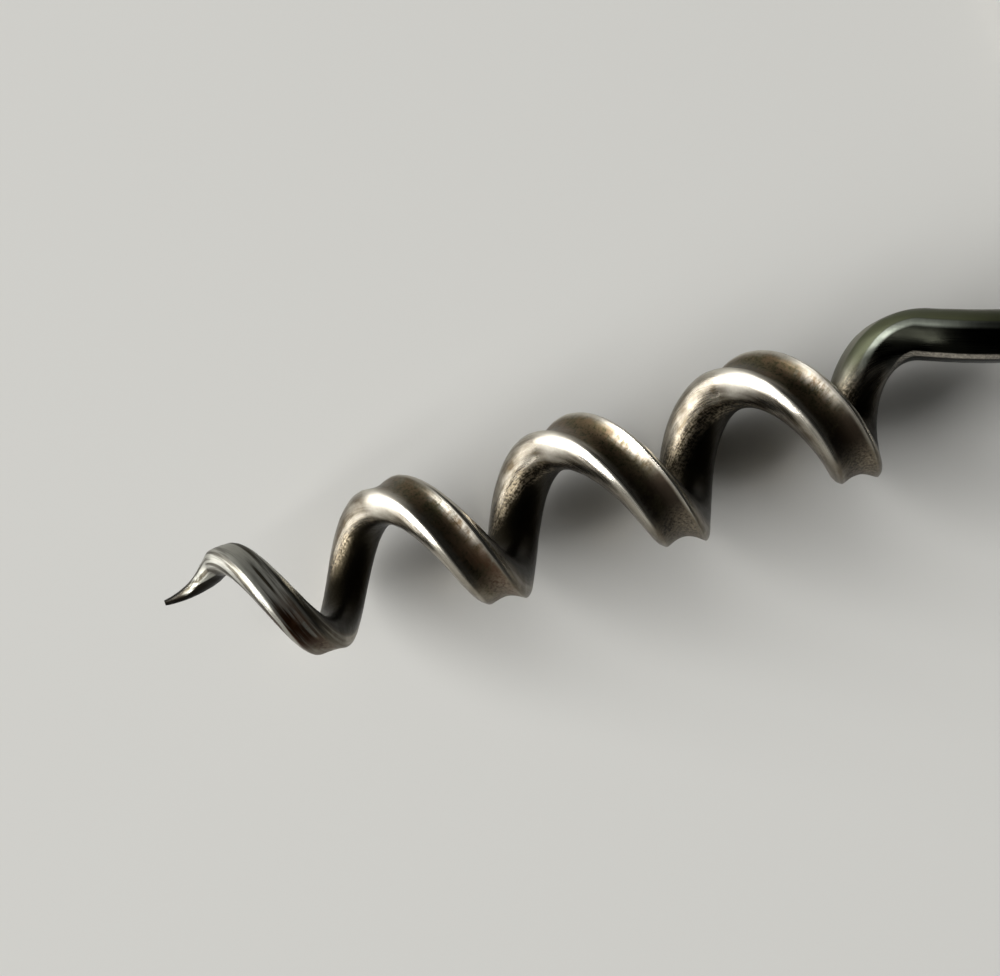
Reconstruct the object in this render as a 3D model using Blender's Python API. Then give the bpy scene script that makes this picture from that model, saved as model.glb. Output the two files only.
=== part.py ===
"""Peg and worm corkscrew, lying flat with the peg through the worm's eye as a T handle.

Metres, +Z up. +X runs along the worm from its point to its eye, and +Y runs across it, along the peg.
The origin is on the surface that the corkscrew lies on, under the middle of its box.
"""

import math

import bmesh
import bpy
from mathutils import Vector

MM = 0.001

# Coil of the worm: a right-hand helix, whose turns are counted from its first crest
COIL_TURNS = 4.07
COIL_PITCH = 11.6 * MM
COIL_RADIUS = 3.15 * MM
COIL_HALF_WIDTH = 1.6 * MM

# How the coil changes on its way to the shank: shares that stand half a turn apart
HALF_TURN = 0.5
PITCH_SHARES = (0.723, 0.847, 0.924, 0.943, 1.003, 1.08, 1.054, 1.014, 0.998)
RADIUS_SHARES = (0.925, 0.935, 0.995, 1.007, 0.988, 1.045, 1.068, 1.005, 0.965)
HALF_WIDTH_SHARES = (0.549, 0.71, 0.868, 0.961, 0.997, 1.047, 1.062, 1.035, 1.05)
FLUTE_SHARES = (0.28, 0.52, 0.66, 0.84, 1.0, 1.0, 1.0, 0.95, 0.12)
TURN_LEAD_SHARES = (-0.018, 0.014, -0.013, -0.006, 0.0)

# Rod of the worm: half of its width before and after the coil
POINT_HALF_WIDTH = 0.16 * MM
DRAWN_HALF_WIDTH = 0.74 * MM
SHANK_HALF_WIDTH = 1.66 * MM
EYE_HALF_WIDTH = 1.6 * MM

# Cut through the fluted rod, in shares of its half width
INNER_DEPTH_SHARE = 0.87
LIP_HEIGHT_SHARE = 0.95
LIP_SPREAD_SHARE = 0.84
LIP_ROUND_SHARE = 0.16
LIP_CROWN_SHARE = 0.1
FLUTE_DEPTH_SHARE = 0.34
FLUTE_LEAN = math.radians(11.0)

# Point: the end of the rod, drawn out along the axis before the first crest
POINT_REACH = 3.59 * MM
POINT_OFFSET = 2.98 * MM
POINT_TURN = math.radians(57.0)
POINT_HANDLE = 2.31 * MM
CREST_HANDLE = 0.6 * MM
POINT_SINK_SHARE = 0.12
POINT_FLUTE_SHARE = 0.12
DRAWN_PLACE_SHARE = 0.6

# Shank: the rod leaves the coil, comes to the axis and runs along it
SHANK_ENTRY_LENGTH = 12.9 * MM
COIL_END_HANDLE = 6.65 * MM
SHANK_ENTRY_HANDLE = 2.13 * MM
SHANK_STRAIGHT_LENGTH = 3.0 * MM
SHANK_WIDTH_PLACE_SHARE = 0.4
FLUTE_END_PLACE_SHARE = 0.25

# Eye: the shank bent round the peg's hole, its cut end coming back to the neck
NECK_REACH = 2.5 * MM
NECK_START_HANDLE = 2.6 * MM
NECK_END_HANDLE = 1.3 * MM
NECK_ANGLE = math.radians(44.0)
EYE_CLEARANCE = 0.25 * MM
EYE_END_GAP = 0.12 * MM
EYE_END_CHAMFER = 0.25 * MM

# Peg: a tapered rod, whose tenon is riveted through a turned knob and sunk in its face
PEG_LENGTH_UNDER_KNOB = 58.0 * MM
PEG_RADIUS_AT_KNOB = 1.5 * MM
PEG_RADIUS_AT_END = 1.1 * MM
PEG_END_ROUND = 0.8 * MM
TENON_RADIUS = 0.9 * MM
TENON_CLEARANCE = 0.05 * MM
RIVET_RADIUS = 1.3 * MM
RIVET_HEIGHT = 0.35 * MM
RIVET_SINK_DEPTH = 0.45 * MM
RIVET_SEAT_GAP = 0.05 * MM
SHOULDER_GAP = 0.05 * MM

KNOB_RADIUS = 5.1 * MM
KNOB_COLLAR_RADIUS = 2.9 * MM
KNOB_COLLAR_THICKNESS = 0.9 * MM
KNOB_NECK_RADIUS = 2.2 * MM
KNOB_NECK_LENGTH = 0.8 * MM
KNOB_BALL_THICKNESS = 5.0 * MM
KNOB_FACE_RADIUS = 2.8 * MM

# Steel as it shows now
WORM_COLOUR = (0.31, 0.28, 0.23)
WORM_ROUGHNESS = 0.32
PEG_COLOUR = (0.34, 0.32, 0.27)
PEG_ROUGHNESS = 0.3

# Fineness of the faces
WORM_SMOOTH = math.radians(42.0)
TURNED_SMOOTH = math.radians(35.0)
STATIONS_PER_TURN = 22
POINT_STATIONS = 10
SHANK_STATIONS = 9
NECK_STATIONS = 7
EYE_STATIONS_PER_TURN = 24
EYE_END_STEP = math.radians(1.0)
MERGE_DISTANCE = 0.001 * MM
INNER_STEPS = 8
FLUTE_STEPS = 6
TURNED_STEPS = 28
BALL_STEPS = 8
ROUND_STEPS = 4

KNOB_LENGTH = KNOB_COLLAR_THICKNESS + KNOB_NECK_LENGTH + KNOB_BALL_THICKNESS
EYE_HOLE_RADIUS = PEG_RADIUS_AT_KNOB + EYE_CLEARANCE
EYE_BEND_RADIUS = EYE_HOLE_RADIUS + EYE_HALF_WIDTH


def blend(stops, place):
    """The value at a place, on straight runs between (place, value) stops."""
    for (low, first), (high, second) in zip(stops, stops[1:]):
        if place <= high:
            share = max(0.0, (place - low) / (high - low))
            return first + (second - first) * share
    return stops[-1][1]


def bezier(start, start_handle, end_handle, end, steps):
    """Points on a cubic curve, both ends included."""
    points = []
    for step in range(steps + 1):
        far = step / steps
        near = 1 - far
        points.append(
            near**3 * start
            + 3 * near**2 * far * start_handle
            + 3 * near * far**2 * end_handle
            + far**3 * end
        )
    return points


def across(outward, tangent):
    """The outward direction, made square to the tangent."""
    return (outward - outward.dot(tangent) * tangent).normalized()


def radial(angle):
    """The direction away from the worm's axis, turning from +Y to +Z."""
    return Vector((0.0, math.cos(angle), math.sin(angle)))


def share_at(turn, shares):
    """The share at a turn of the coil, out of shares that stand half a turn apart."""
    return blend([(index * HALF_TURN, share) for index, share in enumerate(shares)], turn)


def coil_stations():
    """Stations (centre, outward, half width, flute) along the helix, from its first crest."""
    count = round(COIL_TURNS * STATIONS_PER_TURN)
    step = COIL_TURNS / count
    along = 0.0
    stations = []
    for index in range(count + 1):
        turn = index * step
        lead = share_at(turn, TURN_LEAD_SHARES)
        radius = COIL_RADIUS * share_at(turn, RADIUS_SHARES)
        centre = Vector((along, 0.0, 0.0)) + radius * radial(math.tau * (turn + lead))
        half_width = COIL_HALF_WIDTH * share_at(turn, HALF_WIDTH_SHARES)
        stations.append((centre, radial(math.tau * turn), half_width, share_at(turn, FLUTE_SHARES)))
        along += COIL_PITCH * share_at(turn + step / 2, PITCH_SHARES) * step
    return stations


def point_stations(coil):
    """Stations from the very point to just before the coil's first crest."""
    crest = coil[0][0]
    back = (coil[0][0] - coil[1][0]).normalized()
    tip = Vector((-POINT_REACH, 0.0, 0.0)) + radial(-POINT_TURN) * POINT_OFFSET
    heading = Vector((-1.0, 0.0, -POINT_SINK_SHARE)).normalized()
    centres = bezier(
        tip,
        tip - heading * POINT_HANDLE,
        crest + back * CREST_HANDLE,
        crest,
        POINT_STATIONS,
    )
    widths = [(0.0, POINT_HALF_WIDTH), (DRAWN_PLACE_SHARE, DRAWN_HALF_WIDTH), (1.0, coil[0][2])]
    flutes = [(0.0, POINT_FLUTE_SHARE), (1.0, coil[0][3])]
    stations = []
    for index, centre in enumerate(centres[:-1]):
        share = index / POINT_STATIONS
        outward = radial(-POINT_TURN * (1 - share))
        stations.append((centre, outward, blend(widths, share), blend(flutes, share)))
    return stations


def shank_stations(coil):
    """Stations from just after the coil to the start of the neck, the flute running out."""
    last = coil[-1][0]
    onward = (coil[-1][0] - coil[-2][0]).normalized()
    on_axis = Vector((last.x + SHANK_ENTRY_LENGTH, 0.0, 0.0))
    centres = bezier(
        last,
        last + onward * COIL_END_HANDLE,
        on_axis - Vector((SHANK_ENTRY_HANDLE, 0.0, 0.0)),
        on_axis,
        SHANK_STATIONS,
    )
    stations = []
    for index, centre in enumerate(centres[1:], 1):
        share = index / SHANK_STATIONS
        width = blend([(0.0, coil[-1][2]), (SHANK_WIDTH_PLACE_SHARE, SHANK_HALF_WIDTH)], share)
        flute = blend([(0.0, coil[-1][3]), (FLUTE_END_PLACE_SHARE, 0.0)], share)
        stations.append((centre, coil[-1][1], width, flute))
    return stations


def eye_middle(start):
    """The middle of the eye's hole, from the end of the shank's straight run."""
    return start + Vector((NECK_REACH + EYE_BEND_RADIUS, 0.0, 0.0))


def eye_ray(angle):
    """The direction from the middle of the eye at an angle, turning from +X to +Z."""
    return Vector((math.cos(angle), 0.0, math.sin(angle)))


def neck_centres(start):
    """Points from the end of the shank's straight run to where the eye's bend begins."""
    first = math.pi + NECK_ANGLE
    onto_bend = eye_middle(start) + EYE_BEND_RADIUS * eye_ray(first)
    heading = eye_ray(first + math.pi / 2)
    return bezier(
        start,
        start + Vector((NECK_START_HANDLE, 0.0, 0.0)),
        onto_bend - heading * NECK_END_HANDLE,
        onto_bend,
        NECK_STATIONS,
    )


def eye_end_angle(middle, neck):
    """How far round the eye the rod runs before its cut end would meet the neck."""
    room = SHANK_HALF_WIDTH + EYE_END_GAP
    angle = 2 * math.pi
    while angle < 3 * math.pi:
        ray = eye_ray(angle)
        corners = [
            middle + (EYE_BEND_RADIUS + side * EYE_HALF_WIDTH) * ray for side in (-1, 0, 1)
        ]
        if min((corner - point).length for corner in corners for point in neck) < room:
            break
        angle += EYE_END_STEP
    return angle - EYE_END_STEP


def eye_stations(shank):
    """Stations along the neck and round the eye."""
    start = shank[-1][0] + Vector((SHANK_STRAIGHT_LENGTH, 0.0, 0.0))
    middle = eye_middle(start)
    neck = neck_centres(start)
    outward = shank[-1][1]
    stations = []
    for index, centre in enumerate(neck):
        width = blend([(0.0, SHANK_HALF_WIDTH), (1.0, EYE_HALF_WIDTH)], index / NECK_STATIONS)
        stations.append((centre, outward, width, 0.0))
    first = math.pi + NECK_ANGLE
    last = eye_end_angle(middle, neck)
    chamfer_angle = EYE_END_CHAMFER / EYE_BEND_RADIUS
    count = round((last - first) / math.tau * EYE_STATIONS_PER_TURN)
    for index in range(1, count + 1):
        angle = first + (last - chamfer_angle - first) * index / count
        centre = middle + EYE_BEND_RADIUS * eye_ray(angle)
        stations.append((centre, outward, EYE_HALF_WIDTH, 0.0))
    end = middle + EYE_BEND_RADIUS * eye_ray(last)
    stations.append((end, outward, EYE_HALF_WIDTH - EYE_END_CHAMFER, 0.0))
    return stations


def fluted_cut():
    """Points (outward, sideways) round the fluted rod, in shares of its half width."""
    points = []
    for step in range(INNER_STEPS + 1):
        angle = math.pi * step / INNER_STEPS
        points.append((-INNER_DEPTH_SHARE * math.sin(angle), math.cos(angle)))
    side = LIP_SPREAD_SHARE + (1 - LIP_SPREAD_SHARE) * LIP_ROUND_SHARE
    crown = LIP_SPREAD_SHARE - LIP_CROWN_SHARE
    under = LIP_HEIGHT_SHARE * (1 - LIP_ROUND_SHARE)
    points += [(under, -side), (LIP_HEIGHT_SHARE, -crown)]
    for step in range(1, FLUTE_STEPS):
        place = 2 * step / FLUTE_STEPS - 1
        depth = FLUTE_DEPTH_SHARE * (1 - place**2)
        points.append((LIP_HEIGHT_SHARE - depth, place * LIP_SPREAD_SHARE))
    points += [(LIP_HEIGHT_SHARE, crown), (under, side)]
    lean_cos = math.cos(FLUTE_LEAN)
    lean_sin = math.sin(FLUTE_LEAN)
    return [(x * lean_cos - y * lean_sin, x * lean_sin + y * lean_cos) for x, y in points]


def round_cut(count):
    """As many points round the plain rod, in the same order as the fluted cut's."""
    points = []
    outer = count - INNER_STEPS
    for step in range(INNER_STEPS + 1):
        angle = math.pi * step / INNER_STEPS
        points.append((-math.sin(angle), math.cos(angle)))
    for step in range(1, outer):
        angle = math.pi + math.pi * step / outer
        points.append((-math.sin(angle), math.cos(angle)))
    return points


def steel(name, colour, roughness):
    """A metal with the steel's colour as it shows now, darkened and worn."""
    material = bpy.data.materials.new(name)
    material.use_nodes = True
    shader = material.node_tree.nodes["Principled BSDF"]
    shader.inputs["Base Color"].default_value = (*colour, 1.0)
    shader.inputs["Metallic"].default_value = 1.0
    shader.inputs["Roughness"].default_value = roughness
    return material


def finished(name, mesh, material, smooth_limit):
    """The named object of a mesh, with its material, shaded smooth up to an angle."""
    mesh.materials.append(material)
    mesh.shade_smooth()
    mesh.set_sharp_from_angle(angle=smooth_limit)
    piece = bpy.data.objects.new(name, mesh)
    bpy.context.scene.collection.objects.link(piece)
    return piece


def worm_mesh(stations):
    """The rod swept along its stations, each ring bridged to the next and both ends closed."""
    fluted = fluted_cut()
    plain = round_cut(len(fluted))
    centres = [station[0] for station in stations]
    shell = bmesh.new()
    rings = []
    carried = None
    before = None
    for index, (centre, outward, half_width, flute) in enumerate(stations):
        ahead = centres[min(index + 1, len(centres) - 1)]
        tangent = (ahead - centres[max(index - 1, 0)]).normalized()
        if carried is None or outward != before:
            carried = across(outward, tangent)
        else:
            carried = across(carried, tangent)
        before = outward
        sideways = tangent.cross(carried)
        ring = []
        for (cut_out, cut_side), (round_out, round_side) in zip(fluted, plain):
            out = round_out + (cut_out - round_out) * flute
            side = round_side + (cut_side - round_side) * flute
            ring.append(shell.verts.new(centre + half_width * (out * carried + side * sideways)))
        rings.append(ring)
    for first, second in zip(rings, rings[1:]):
        for index in range(len(first)):
            after = (index + 1) % len(first)
            shell.faces.new((first[index], first[after], second[after], second[index]))
    shell.faces.new(list(reversed(rings[0])))
    shell.faces.new(rings[-1])
    bmesh.ops.recalc_face_normals(shell, faces=shell.faces)
    mesh = bpy.data.meshes.new("worm")
    shell.to_mesh(mesh)
    shell.free()
    return mesh


def turned_mesh(name, profile, closed):
    """A profile of (place along the peg, radius) spun round the peg's own axis, +Y."""
    lathe = bmesh.new()
    points = [lathe.verts.new((radius, along, 0.0)) for along, radius in profile]
    pairs = list(zip(points, points[1:]))
    if closed:
        pairs.append((points[-1], points[0]))
    edges = [lathe.edges.new(pair) for pair in pairs]
    bmesh.ops.spin(
        lathe,
        geom=points + edges,
        cent=(0.0, 0.0, 0.0),
        axis=(0.0, 1.0, 0.0),
        angle=math.tau,
        steps=TURNED_STEPS,
        use_merge=True,
    )
    bmesh.ops.remove_doubles(lathe, verts=lathe.verts, dist=MERGE_DISTANCE)
    bmesh.ops.recalc_face_normals(lathe, faces=lathe.faces)
    mesh = bpy.data.meshes.new(name)
    lathe.to_mesh(mesh)
    lathe.free()
    return mesh


def peg_rod_profile():
    """(place along the peg, radius) from the rivet to the far end; the knob's shoulder is at zero."""
    seat = -KNOB_LENGTH + RIVET_SINK_DEPTH - RIVET_SEAT_GAP
    profile = []
    for step in range(ROUND_STEPS):
        angle = math.pi / 2 * step / ROUND_STEPS
        profile.append((seat - RIVET_HEIGHT * math.cos(angle), RIVET_RADIUS * math.sin(angle)))
    profile += [
        (seat, RIVET_RADIUS),
        (seat, TENON_RADIUS),
        (SHOULDER_GAP, TENON_RADIUS),
        (SHOULDER_GAP, PEG_RADIUS_AT_KNOB),
    ]
    round_start = PEG_LENGTH_UNDER_KNOB - PEG_END_ROUND
    for step in range(ROUND_STEPS + 1):
        angle = math.pi / 2 * step / ROUND_STEPS
        along = round_start + PEG_END_ROUND * math.sin(angle)
        profile.append((along, PEG_RADIUS_AT_END * math.cos(angle)))
    return profile


def peg_head_profile():
    """The closed outline (place along the peg, radius) of the knob, of its hole and of the rivet's seat."""
    hole = TENON_RADIUS + TENON_CLEARANCE
    sink = RIVET_RADIUS + TENON_CLEARANCE
    sink_floor = -KNOB_LENGTH + RIVET_SINK_DEPTH
    neck_start = -KNOB_COLLAR_THICKNESS
    ball_start = neck_start - KNOB_NECK_LENGTH
    profile = [
        (0.0, hole),
        (0.0, KNOB_COLLAR_RADIUS),
        (neck_start, KNOB_COLLAR_RADIUS),
        (neck_start, KNOB_NECK_RADIUS),
    ]
    for step in range(BALL_STEPS + 1):
        angle = math.pi * step / BALL_STEPS
        along = ball_start - KNOB_BALL_THICKNESS * (1 - math.cos(angle)) / 2
        edge = blend([(0.0, KNOB_NECK_RADIUS), (1.0, KNOB_FACE_RADIUS)], step / BALL_STEPS)
        profile.append((along, edge + (KNOB_RADIUS - edge) * math.sin(angle)))
    profile += [(-KNOB_LENGTH, sink), (sink_floor, sink), (sink_floor, hole)]
    return profile


def build():
    for item in list(bpy.data.objects):
        bpy.data.objects.remove(item)

    coil = coil_stations()
    shank = shank_stations(coil)
    eye = eye_stations(shank)
    middle = eye_middle(eye[0][0])
    mesh = worm_mesh(point_stations(coil) + coil + shank + eye)
    lowest = min(vertex.co.z for vertex in mesh.vertices)
    axis_height = max(KNOB_RADIUS, -lowest)
    near_end = min(vertex.co.x for vertex in mesh.vertices)
    far_end = max(middle.x + KNOB_RADIUS, max(vertex.co.x for vertex in mesh.vertices))
    worm_start = -(near_end + far_end) / 2

    worm = finished("worm", mesh, steel("worm_steel", WORM_COLOUR, WORM_ROUGHNESS), WORM_SMOOTH)
    worm.location = (worm_start, 0.0, axis_height)

    shoulder = (KNOB_LENGTH - PEG_LENGTH_UNDER_KNOB) / 2
    peg = bpy.data.objects.new("peg", None)
    bpy.context.scene.collection.objects.link(peg)
    peg.location = (worm_start + middle.x, shoulder, axis_height)

    rod_mesh = turned_mesh("peg_rod", peg_rod_profile(), closed=False)
    knob_mesh = turned_mesh("peg_head", peg_head_profile(), closed=True)
    peg_steel = steel("peg_steel", PEG_COLOUR, PEG_ROUGHNESS)
    for name, turned in (("peg_rod", rod_mesh), ("peg_head", knob_mesh)):
        piece = finished(name, turned, peg_steel, TURNED_SMOOTH)
        piece.parent = peg


build()
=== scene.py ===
"""Looks of the peg and worm corkscrew, built round its model and lit as in the photograph.

Metres, +Z up. The worm lies along X on a pale floor, its point at -X, and the peg lies along Y.
"""

import math

import bmesh
import bpy
import numpy as np
from mathutils import Matrix, Vector


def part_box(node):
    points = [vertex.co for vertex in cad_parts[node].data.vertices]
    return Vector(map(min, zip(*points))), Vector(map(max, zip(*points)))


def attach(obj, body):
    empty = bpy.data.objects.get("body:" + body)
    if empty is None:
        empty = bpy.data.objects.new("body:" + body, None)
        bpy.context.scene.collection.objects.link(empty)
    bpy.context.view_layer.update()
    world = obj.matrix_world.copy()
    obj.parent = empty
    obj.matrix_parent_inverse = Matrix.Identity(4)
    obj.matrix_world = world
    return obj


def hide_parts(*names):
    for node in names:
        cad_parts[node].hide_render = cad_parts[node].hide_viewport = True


MM = 0.001

# Coil of the worm: a right-hand helix, its turns counted from the first crest
COIL_TURNS = 4.07
COIL_PITCH = 11.6 * MM
COIL_RADIUS = 3.15 * MM
COIL_HALF_WIDTH = 1.6 * MM

# How it changes every half turn: shares of those sizes, of the flute's full depth, and of a turn
HALF_TURN = 0.5
PITCH_SHARES = (0.723, 0.847, 0.924, 0.943, 1.003, 1.08, 1.054, 1.014, 0.998)
RADIUS_SHARES = (0.925, 0.935, 0.995, 1.007, 0.988, 1.045, 1.068, 1.005, 0.965)
HALF_WIDTH_SHARES = (0.549, 0.71, 0.868, 0.961, 0.997, 1.047, 1.062, 1.035, 1.05)
FLUTE_SHARES = (0.28, 0.52, 0.66, 0.84, 1.0, 1.0, 1.0, 0.95, 0.12)
TURN_LEAD_SHARES = (-0.018, 0.014, -0.013, -0.006, 0.0)

# Rod of the worm before and after the coil
POINT_HALF_WIDTH = 0.16 * MM
DRAWN_HALF_WIDTH = 0.74 * MM
SHANK_HALF_WIDTH = 1.66 * MM
EYE_HALF_WIDTH = 1.6 * MM

# Point, before the first crest
POINT_REACH = 3.59 * MM
POINT_OFFSET = 2.98 * MM
POINT_TURN = math.radians(57.0)
POINT_HANDLE = 2.31 * MM
CREST_HANDLE = 0.6 * MM
POINT_SINK_SHARE = 0.12
POINT_FLUTE_SHARE = 0.12
DRAWN_PLACE_SHARE = 0.6

# Shank and eye
SHANK_ENTRY_LENGTH = 12.9 * MM
COIL_END_HANDLE = 6.65 * MM
SHANK_ENTRY_HANDLE = 2.13 * MM
SHANK_STRAIGHT_LENGTH = 3.0 * MM
SHANK_WIDTH_PLACE_SHARE = 0.4
FLUTE_END_PLACE_SHARE = 0.25
NECK_REACH = 2.5 * MM
NECK_START_HANDLE = 2.6 * MM
NECK_END_HANDLE = 1.3 * MM
NECK_ANGLE = math.radians(44.0)
EYE_BEND_RADIUS = 3.35 * MM
EYE_END_GAP = 0.12 * MM
EYE_END_CHAMFER = 0.25 * MM

# Peg, measured from the knob's shoulder towards its plain end
PEG_LENGTH_UNDER_KNOB = 58.0 * MM
PEG_RADIUS_AT_KNOB = 1.5 * MM
PEG_RADIUS_AT_END = 1.1 * MM
PEG_END_ROUND = 0.8 * MM
PEG_EDGE_CHAMFER = 0.1 * MM
TENON_RADIUS = 0.9 * MM
TENON_CLEARANCE = 0.05 * MM
RIVET_RADIUS = 1.3 * MM
RIVET_HEIGHT = 0.35 * MM
RIVET_SINK_DEPTH = 0.45 * MM
RIVET_SEAT_GAP = 0.05 * MM
SHOULDER_GAP = 0.05 * MM
KNOB_RADIUS = 5.1 * MM
KNOB_COLLAR_RADIUS = 2.9 * MM
KNOB_COLLAR_THICKNESS = 0.9 * MM
KNOB_NECK_RADIUS = 2.2 * MM
KNOB_NECK_LENGTH = 0.8 * MM
KNOB_BALL_THICKNESS = 5.0 * MM
KNOB_FACE_RADIUS = 2.8 * MM
KNOB_ARRIS = 0.15 * MM
KNOB_LENGTH = KNOB_COLLAR_THICKNESS + KNOB_NECK_LENGTH + KNOB_BALL_THICKNESS

# Camera, found by fitting the worm's outline to the photograph
CAMERA_DISTANCE = 78.34 * MM
CAMERA_SWING = math.radians(13.67)
CAMERA_ROLL = math.radians(18.19)
CAMERA_RISE = 1.99 * MM
CAMERA_AIM_FROM_CREST = 15.99 * MM
CAMERA_LENS = 47.95
CAMERA_SENSOR = 36.0
CAMERA_NEAREST = 1.0 * MM

# Colours of the steels and of the floor
BRIGHT_STEEL = (0.56, 0.53, 0.46)
BARE_STEEL = (0.34, 0.308, 0.252)
BROWN_STEEL = (0.095, 0.075, 0.048)
OLIVE_STEEL = (0.080, 0.069, 0.037)
BROWN_FLUTE_STEEL = (0.125, 0.088, 0.052)
PITTED_STEEL = (0.022, 0.018, 0.011)
PIT_EDGE_STEEL = (0.235, 0.195, 0.135)
POINT_STEEL = (0.32, 0.32, 0.285)
BLACK_STEEL = (0.009, 0.007, 0.005)
DARK_POINT_STEEL = (0.026, 0.024, 0.017)
# Painted dark reflection: the near-black steel of the shank, under its painted bands
SHANK_PAINTED_DARK_STEEL = (0.006, 0.0062, 0.0046)
# Painted highlight: a pale band along the shank
SHANK_PAINTED_HIGHLIGHT_STEEL = (0.125, 0.134, 0.112)
# Dull greenish patina of the shank's top band as the camera sees it; laid out that way it is partly a
# painted reflection
DULL_STEEL = (0.041, 0.045, 0.021)
EYE_STEEL = (0.056, 0.054, 0.041)
# Painted reflection of the floor along the shank's rim
RIM_REFLECTION_STEEL = (0.17, 0.165, 0.135)
RUST = (0.038, 0.016, 0.006)
BLACK_RUST = (0.009, 0.005, 0.002)
PEG_BARE = (0.30, 0.28, 0.24)
PEG_BROWN = (0.12, 0.098, 0.068)
KNOB_BARE = (0.29, 0.27, 0.23)
KNOB_BROWN = (0.11, 0.088, 0.06)
FLOOR_COLOUR = (0.65, 0.644, 0.612)

# Unless its heading says otherwise, a pair below says where something starts and where it is full

# Floor, and the window and room that light it: the window is wide and stands low beyond the point
FLOOR_SIZE = 3.0
FLOOR_ROUGHNESS = 0.3
FLOOR_GLOSS = 0.5
WINDOW_DIRECTION = (-0.939, 0.149, 0.309)
WINDOW_DISTANCE = 3.0
WINDOW_WIDTH = 3.0
WINDOW_HEIGHT = 1.5
WINDOW_POWER = 311.0
ROOM_DARK = 0.01
ROOM_PALE = 0.33
ROOM_BACK = 0.03
ROOM_SEEN = 0.6
ROOM_LOW = (0.8, 0.35)
ROOM_LIT_SIDE = (-0.3, 0.6)
ROOM_BLUE_SHARE = 0.97

# Where the skin changes along the rod, measured from its point
POINT_SKIN = (20.0 * MM, 9.0 * MM)
POINT_DARK = (1.9 * MM, 0.9 * MM)
STAIN_START = (9.6 * MM, 11.0 * MM)
STAIN_END = (13.6 * MM, 12.4 * MM)
LATE_TURNS = (40.0 * MM, 50.0 * MM)
SHANK_SKIN = (89.0 * MM, 95.0 * MM)
EYE_SKIN = (109.0 * MM, 114.0 * MM)

# Where it changes along Y, from the troughs of the coil to its crests
CREST = (1.9 * MM, 3.3 * MM)
TROUGH = (-1.8 * MM, -3.8 * MM)
LOW_DOWN = (0.8 * MM, -2.4 * MM)
LATE_LOW_RISE = 1.5 * MM
RIM_PITS = (2.2 * MM, 0.4 * MM)
# Painted shade on the inside's lit pit edges, towards the troughs
PIT_SHADE_LOW = (2.6 * MM, -0.4 * MM)

# Where it changes across the rod, whose near side is the one towards the point
FAR_WALL = (0.1 * MM, 0.7 * MM)
# Where the painted highlight on the crests' shoulders lies across the rod
SHOULDER_SIDE = (0.0, 0.6 * MM)
STAIN_SIDE_START = (-0.7 * MM, -0.1 * MM)
STAIN_SIDE_END = (1.3 * MM, 0.9 * MM)
# Where the pit edges are painted lit: on the near side, towards the window
PIT_LIT_SIDE = (0.75 * MM, 1.3 * MM)

# In shares of the flute's depth
FAR_WALL_HOLLOW = (0.02, 0.3)
# Where the painted shoulder highlight fades into the flute
SHOULDER_HOLLOW = (0.5, 0.15)
RUST_HOLLOW = (0.08, 0.45)
TROUGH_HOLLOW = (0.05, 0.4)

# By the rod's slope down along Y, past a crest or up to the next one
FALLING = (-0.1, 0.25)
RISING = (0.1, -0.3)

# Lips and inside of the coil, in shares of the half width: pairs for the far side and the near side
LIP_SKIN_REACH = (0.2, 0.4)
LIP_SKIN_FULL = 0.04
INNER_SKIN_START = (-0.5, 0.05)
INNER_SKIN_FULL = (-0.05, 0.45)

# Rim of the inside on the near side, in shares of the half width, and where the rod counts as fluted
INNER_RIM = (-0.4, 0.0)
FLUTED = (0.2, 0.5)

# Painted shade on the underside of the point as the camera sees it, in shares of the half width: it narrows
# away from a place along the rod
POINT_UNDER_SHADE = (0.0, 0.1)
POINT_UNDER_MIDDLE = 2.5 * MM
POINT_UNDER_NARROWING = 260.0

# Painted reflection bands of the shank as the camera sees them, laid over its painted dark reflection: a
# painted highlight, a dull patina top that is partly a painted reflection, a painted floor reflection at
# the rim and a pale painted floor reflection line; in shares of the half width above the rod's middle, and
# below it for the line
SHANK_HIGHLIGHT_BAND = (0.10, 0.26)
SHANK_TOP = (0.40, 0.50)
SHANK_RIM_REFLECTION = (0.88, 0.94)
SHANK_FLOOR_LINE_TOP = (0.72, 0.77)
SHANK_FLOOR_LINE_FOOT = (0.91, 0.87)

# Patterns of the steel: size (or size across and along the rod or round the peg), detail, roughness
GRAIN = (0.09 * MM, 3.5 * MM, 4.0, 0.6)
STREAKS = (0.3 * MM, 5.0 * MM, 3.0, 0.5)
CHATTER = (1.1 * MM, 0.34 * MM, 4.0, 0.7)
BLOTCHES = (1.4 * MM, 5.0, 0.6)
SPECKS = (0.18 * MM, 5.0, 0.7)
PEG_RINGS = (6.0 * MM, 0.07 * MM, 3.0, 0.6)
PEG_BLOTCHES = (2.2 * MM, 5.0, 0.6)
PEG_SPECKS = (0.22 * MM, 3.0, 0.6)
PATTERN_MIDDLE = 0.5
Y_AXIS = 1
Z_AXIS = 2

# Levels of those patterns between which a mark shows
FLUTE_MOTTLE = (0.38, 0.62)
FLUTE_SPOTS = (0.48, 0.34)
SCRAPES = (0.38, 0.62)
RUST_PATCHES = (0.36, 0.58)
TROUGH_SPECKS = (0.3, 0.7)
POINT_STREAKS = (0.42, 0.58)
STAIN_STREAKS = (0.36, 0.5)
EYE_BLOTCHES = (0.38, 0.66)
PIT_MARKS = (0.44, 0.59)
PEG_RUST_SPECKS = (0.58, 0.74)

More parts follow.
